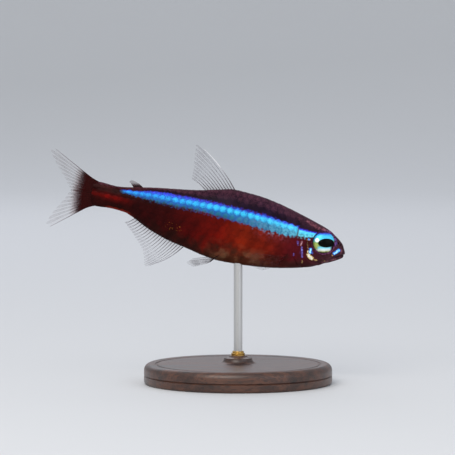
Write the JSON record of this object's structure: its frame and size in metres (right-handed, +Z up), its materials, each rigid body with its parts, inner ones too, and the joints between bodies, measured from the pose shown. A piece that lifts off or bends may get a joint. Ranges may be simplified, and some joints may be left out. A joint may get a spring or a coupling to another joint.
{
  "type": "cardinal tetra",
  "caption": "Life-size still model of a cardinal tetra swimming slightly nose down, with rayed fins, held by a slim rod above a round turned base.",
  "frame": {"origin": "centre of the stand base's flat underside, on the surface that it stands on", "axes": "+X towards the fish's snout, +Y towards its left side, +Z up; the fish is pitched 13 degrees nose down about Y"},
  "size_m": [0.0415, 0.026, 0.033],
  "materials": {
    "head_skin": "thin wet skin over the skull, mauve brown above and red brown below",
    "flank_skin": "small smooth scales under slime, deep red with a blue stripe that shines",
    "tail_stalk_skin": "small smooth scales under slime, deep red",
    "gill_cover_skin": "thin skin over a bony plate, dark red with a lilac shine",
    "eye": "polished, wet cornea over a bright iris",
    "fin_membrane": "clear thin membrane between bony rays",
    "tail_fin_membrane": "thin membrane between bony rays, dark red at its root and clear at its edge",
    "dark_turned_wood": "turned, stained dark and waxed",
    "stainless_steel": "drawn rod, satin"
  },
  "bodies": {
    "root": {"head": "head_skin", "torso": "flank_skin", "tail_stalk": "tail_stalk_skin", "gill_cover_left": "gill_cover_skin", "gill_cover_right": "gill_cover_skin", "eye_left": "eye", "eye_right": "eye", "dorsal_fin": "fin_membrane", "adipose_fin": "fin_membrane", "anal_fin": "fin_membrane", "tail_fin_upper": "tail_fin_membrane", "tail_fin_lower": "tail_fin_membrane", "pectoral_fin_left": "fin_membrane", "pectoral_fin_right": "fin_membrane", "pelvic_fin_left": "fin_membrane", "pelvic_fin_right": "fin_membrane", "stand_base": "dark_turned_wood", "stand_rod": "stainless_steel"}
  },
  "joints": []
}
